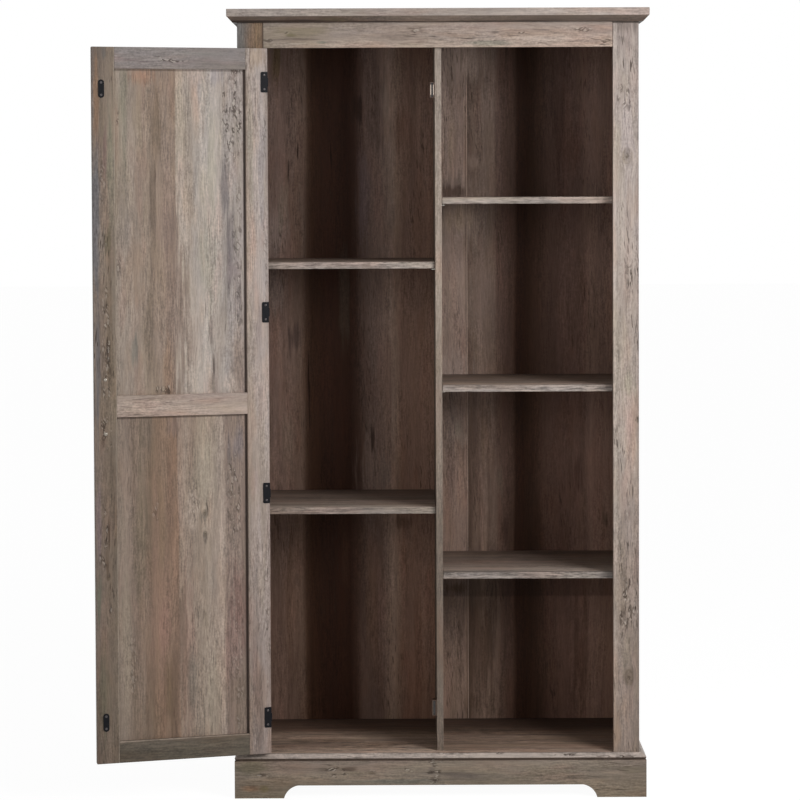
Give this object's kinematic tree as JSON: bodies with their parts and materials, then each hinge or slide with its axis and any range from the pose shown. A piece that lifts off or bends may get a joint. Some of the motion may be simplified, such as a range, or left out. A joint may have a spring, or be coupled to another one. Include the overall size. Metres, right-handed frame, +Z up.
{
  "type": "tall storage cabinet",
  "caption": "Tall free-standing storage cabinet in weathered oak laminate, open shelves on one side and a framed door on magnetic catches over the other, on an arched plinth.",
  "frame": {"origin": "on the floor under the centre foot, midway across the carcass and midway from the face frame's front to the back panel's rear", "axes": "+Z up, -Y out of the open front, +X to the right of someone facing the cabinet"},
  "size_m": [1.3222, 0.5046, 1.9],
  "materials": {
    "carcass_laminate": "matte wood-grain laminate on board",
    "frame_laminate": "matte weathered oak laminate with dark checks and knots",
    "shelf_laminate": "matte weathered oak laminate",
    "back_laminate": "printed plank grain on thin board",
    "door_laminate": "matte weathered oak laminate",
    "black_metal": "black enamel",
    "bright_steel": "plain steel",
    "zinc_steel": "zinc plated",
    "magnet_ferrite": "sintered",
    "brown_plastic": "moulded",
    "beech_wood": "fluted dowel stock"
  },
  "bodies": {
    "cabinet": {"left_side_panel": "carcass_laminate", "right_side_panel": "carcass_laminate", "centre_divider": "carcass_laminate", "floor_panel": "carcass_laminate", "top_panel": "carcass_laminate", "left_stile": "frame_laminate", "right_stile": "frame_laminate", "top_rail": "frame_laminate", "crown_board": "frame_laminate", "crown_moulding_front": "frame_laminate", "crown_moulding_left": "frame_laminate", "crown_moulding_right": "frame_laminate", "base_front_board": "frame_laminate", "base_left_board": "frame_laminate", "base_right_board": "frame_laminate", "shelf_left_lower": "shelf_laminate", "shelf_left_upper": "shelf_laminate", "shelf_right_lower": "shelf_laminate", "shelf_right_middle": "shelf_laminate", "shelf_right_upper": "shelf_laminate", "back_panel_left": "back_laminate", "back_panel_right": "back_laminate", "base_rear_rail": "carcass_laminate", "base_cross_rail": "carcass_laminate", "centre_foot": "carcass_laminate", "hinge_frame_leaf_1": "black_metal", "hinge_frame_leaf_2": "black_metal", "hinge_frame_leaf_3": "black_metal", "hinge_frame_leaf_4": "black_metal", "hinge_pins": "black_metal", "hinge_frame_screws": "black_metal", "catch_screws": "zinc_steel", "catch_pole_plates": "bright_steel", "catch_magnets": "magnet_ferrite", "magnetic_catch_upper": "brown_plastic", "magnetic_catch_lower": "brown_plastic", "shelf_pins_left": "zinc_steel", "shelf_pins_right": "zinc_steel", "cam_discs": "zinc_steel", "cam_bolts": "zinc_steel", "dowels": "beech_wood", "base_screws": "zinc_steel"},
    "door": {"door_hinge_stile": "door_laminate", "door_latch_stile": "door_laminate", "door_top_rail": "door_laminate", "door_middle_rail": "door_laminate", "door_bottom_rail": "door_laminate", "door_upper_panel": "door_laminate", "door_lower_panel": "door_laminate", "hinge_door_leaf_1": "black_metal", "hinge_door_leaf_2": "black_metal", "hinge_door_leaf_3": "black_metal", "hinge_door_leaf_4": "black_metal", "strike_plate_upper": "black_metal", "strike_plate_lower": "black_metal", "door_handle": "black_metal", "hinge_door_screws": "black_metal", "strike_screws": "black_metal", "handle_screws": "zinc_steel"}
  },
  "joints": [
    {"name": "door_hinge", "type": "hinge", "parent": "cabinet", "child": "door", "pos_m": [-0.4144, -0.1915, 0.95875], "axis": [0, 0, -1], "range_deg": [-165.5, 9.5]}
  ]
}
